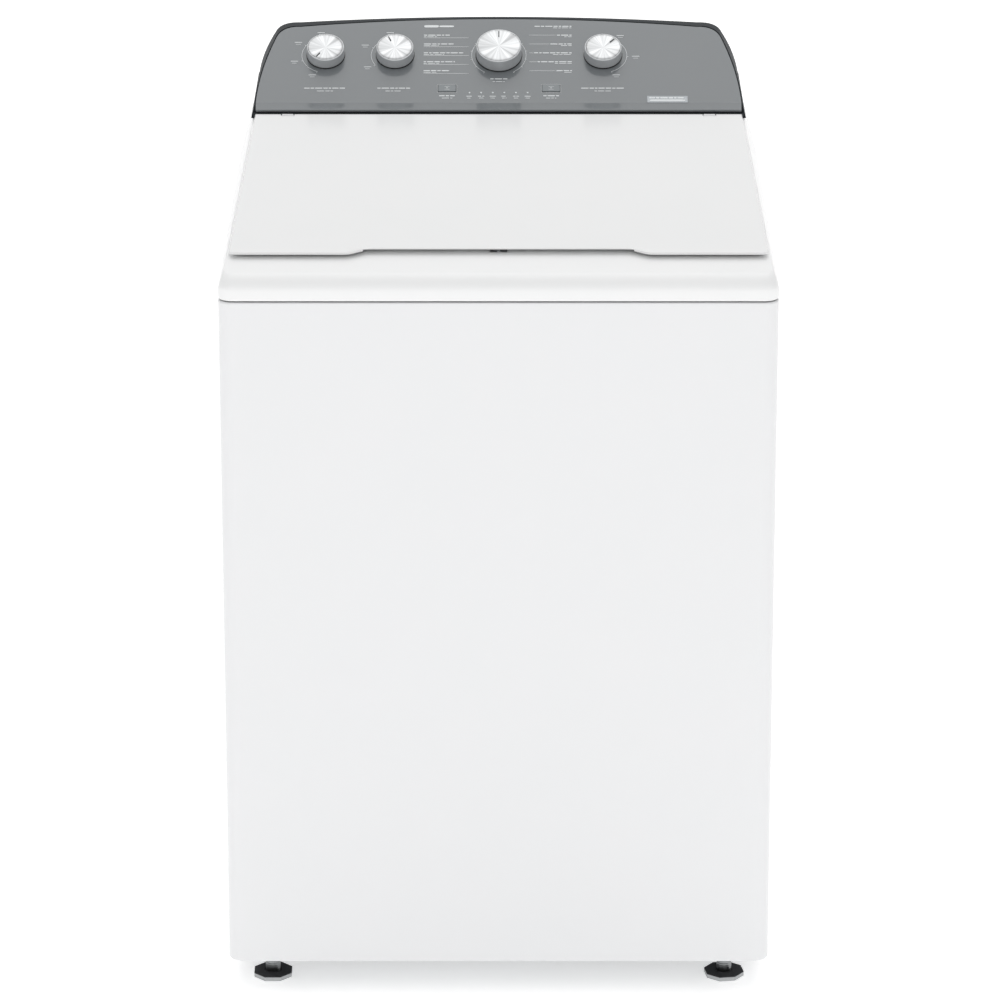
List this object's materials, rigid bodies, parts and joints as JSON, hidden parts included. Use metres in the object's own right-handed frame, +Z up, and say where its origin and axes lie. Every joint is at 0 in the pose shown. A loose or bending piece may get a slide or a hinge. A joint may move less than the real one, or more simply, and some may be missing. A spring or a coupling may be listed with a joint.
{
  "type": "top load washing machine",
  "caption": "White top-load washer: suspended tub with spinning basket and agitator, belt drive, hinged lid with finger scoop, sloping grey console with silver knobs.",
  "frame": {"origin": "on the floor, under the middle of the machine's bounding box", "axes": "+Z up, -Y out of the front, +X to the right when facing the front"},
  "size_m": [0.7, 0.686, 1.1316],
  "materials": {
    "white_enamel": "glossy white enamel on steel",
    "white_plastic": "glossy white moulding",
    "charcoal_plastic": "satin charcoal moulding",
    "fascia_grey": "satin grey fascia with a printed legend",
    "spun_metal": "spun bright face, satin side",
    "button_grey": "satin grey",
    "galvanised": "zinc coated sheet",
    "steel": "plain bright steel",
    "stainless": "brushed stainless",
    "aluminium": "as cast",
    "tub_plastic": "glass filled polypropylene",
    "grey_plastic": "plain moulding",
    "agitator_plastic": "pale grey polypropylene",
    "rubber": "black rubber",
    "board_green": "solder resist",
    "lamp_clear": "clear moulding",
    "blue_plastic": "glossy blue moulding"
  },
  "bodies": {
    "cabinet": {"cabinet_shell": "white_enamel", "rear_panel": "galvanised", "top_brace_left": "galvanised", "top_brace_right": "galvanised", "base_rail_front": "galvanised", "base_rail_rear": "galvanised", "foot_rear_left": "rubber", "foot_rear_right": "rubber", "top_deck": "white_plastic", "console_housing": "charcoal_plastic", "console_rear_cover": "galvanised", "control_panel": "fascia_grey", "control_board": "board_green", "lamp_light_guide": "lamp_clear", "inlet_valve": "grey_plastic", "fill_hose": "rubber", "water_spout": "grey_plastic", "drain_port": "grey_plastic", "power_inlet_gland": "rubber", "drain_hose": "rubber", "hinge_bracket_left": "steel", "hinge_bracket_right": "steel", "lid_lock": "grey_plastic", "suspension_rod_front_left": "steel", "suspension_rod_front_right": "steel", "suspension_rod_rear_left": "steel", "suspension_rod_rear_right": "steel", "suspension_spring_front_left": "steel", "suspension_spring_front_right": "steel", "suspension_spring_rear_left": "steel", "suspension_spring_rear_right": "steel"},
    "lid": {"lid": "white_plastic", "lid_liner": "white_plastic", "lid_strike": "steel"},
    "lid_lock_bolt": {"lid_lock_bolt": "steel"},
    "knob_soil": {"knob_soil": "spun_metal"},
    "knob_temperature": {"knob_temperature": "spun_metal"},
    "knob_cycle": {"knob_cycle": "spun_metal"},
    "knob_rinse": {"knob_rinse": "spun_metal"},
    "button_start": {"button_start": "button_grey"},
    "button_extra": {"button_extra": "button_grey"},
    "tub": {"outer_tub": "tub_plastic", "tub_ring": "tub_plastic", "drive_plate": "galvanised", "gearcase": "aluminium", "motor": "grey_plastic", "drive_belt": "rubber", "drain_pump": "grey_plastic"},
    "basket": {"wash_basket": "stainless", "balance_ring": "grey_plastic", "basket_hub": "aluminium"},
    "agitator": {"agitator": "agitator_plastic", "agitator_cap": "blue_plastic", "drive_shaft": "steel"},
    "drive_pulley": {"drive_pulley": "aluminium"},
    "motor_pulley": {"motor_pulley": "steel"},
    "foot_pad_left": {"foot_pad_front_left": "rubber"},
    "foot_pad_right": {"foot_pad_front_right": "rubber"},
    "foot_screw_left": {"foot_screw_front_left": "steel"},
    "foot_screw_right": {"foot_screw_front_right": "steel"}
  },
  "joints": [
    {"name": "lid_hinge", "type": "hinge", "parent": "cabinet", "child": "lid", "pos_m": [0, 0.1745, 1.03683], "axis": [-1, 0, 0], "range_deg": [0, 100]},
    {"name": "lid_lock_slide", "type": "slide", "parent": "cabinet", "child": "lid_lock_bolt", "axis": [-1, 0, 0], "range_m": [0, 0.02]},
    {"name": "knob_soil_turn", "type": "hinge", "parent": "cabinet", "child": "knob_soil", "pos_m": [-0.2319, 0.27514, 1.0952], "axis": [0, -0.5284, 0.849], "range_deg": [-120, 0]},
    {"name": "knob_temperature_turn", "type": "hinge", "parent": "cabinet", "child": "knob_temperature", "pos_m": [-0.1389, 0.27514, 1.0952], "axis": [0, -0.5284, 0.849], "range_deg": [0, 120]},
    {"name": "knob_cycle_turn", "type": "hinge", "parent": "cabinet", "child": "knob_cycle", "pos_m": [0.0004, 0.27514, 1.0952], "axis": [0, -0.5284, 0.849], "continuous": true},
    {"name": "knob_rinse_turn", "type": "hinge", "parent": "cabinet", "child": "knob_rinse", "pos_m": [0.1401, 0.27514, 1.0952], "axis": [0, -0.5284, 0.849], "range_deg": [-100, 0]},
    {"name": "button_start_press", "type": "slide", "parent": "cabinet", "child": "button_start", "axis": [0, 0.5284, -0.849], "range_m": [0, 0.001], "stiffness_N_per_m": 800, "springref_m": -0.001},
    {"name": "button_extra_press", "type": "slide", "parent": "cabinet", "child": "button_extra", "axis": [0, 0.5284, -0.849], "range_m": [0, 0.001], "stiffness_N_per_m": 800, "springref_m": -0.001},
    {"name": "tub_bounce", "type": "slide", "parent": "cabinet", "child": "tub", "axis": [0, 0, 1], "range_m": [-0.025, 0.015], "stiffness_N_per_m": 6000, "springref_m": 0.0545, "deforming": ["suspension_spring_front_left", "suspension_spring_front_right", "suspension_spring_rear_left", "suspension_spring_rear_right", "drain_hose"]},
    {"name": "basket_spin", "type": "hinge", "parent": "tub", "child": "basket", "pos_m": [0, 0, 0.5], "axis": [0, 0, 1], "continuous": true},
    {"name": "agitator_turn", "type": "hinge", "parent": "basket", "child": "agitator", "pos_m": [0, 0, 0.5], "axis": [0, 0, 1], "continuous": true},
    {"name": "drive_pulley_turn", "type": "hinge", "parent": "basket", "child": "drive_pulley", "pos_m": [0, 0, 0.137], "axis": [0, 0, 1], "continuous": true},
    {"name": "motor_pulley_turn", "type": "hinge", "parent": "tub", "child": "motor_pulley", "pos_m": [0.165, -0.06, 0.137], "axis": [0, 0, 1], "continuous": true},
    {"name": "foot_left_travel", "type": "slide", "parent": "cabinet", "child": "foot_pad_left", "axis": [0, 0, -1], "range_m": [0, 0.015]},
    {"name": "foot_left_turn", "type": "hinge", "parent": "foot_pad_left", "child": "foot_screw_left", "pos_m": [-0.295, -0.285, 0.05], "axis": [0, 0, 1], "range_deg": [0, 3600]},
    {"name": "foot_right_travel", "type": "slide", "parent": "cabinet", "child": "foot_pad_right", "axis": [0, 0, -1], "range_m": [0, 0.015]},
    {"name": "foot_right_turn", "type": "hinge", "parent": "foot_pad_right", "child": "foot_screw_right", "pos_m": [0.295, -0.285, 0.05], "axis": [0, 0, 1], "range_deg": [0, 3600]}
  ],
  "couplings": [
    {"joint": "drive_pulley_turn", "follows": "agitator_turn", "ratio": 4},
    {"joint": "motor_pulley_turn", "follows": "agitator_turn", "ratio": 17.548},
    {"joint": "foot_left_turn", "follows": "foot_left_travel", "rad_per_m": 4188.8},
    {"joint": "foot_right_turn", "follows": "foot_right_travel", "rad_per_m": 4188.8}
  ]
}
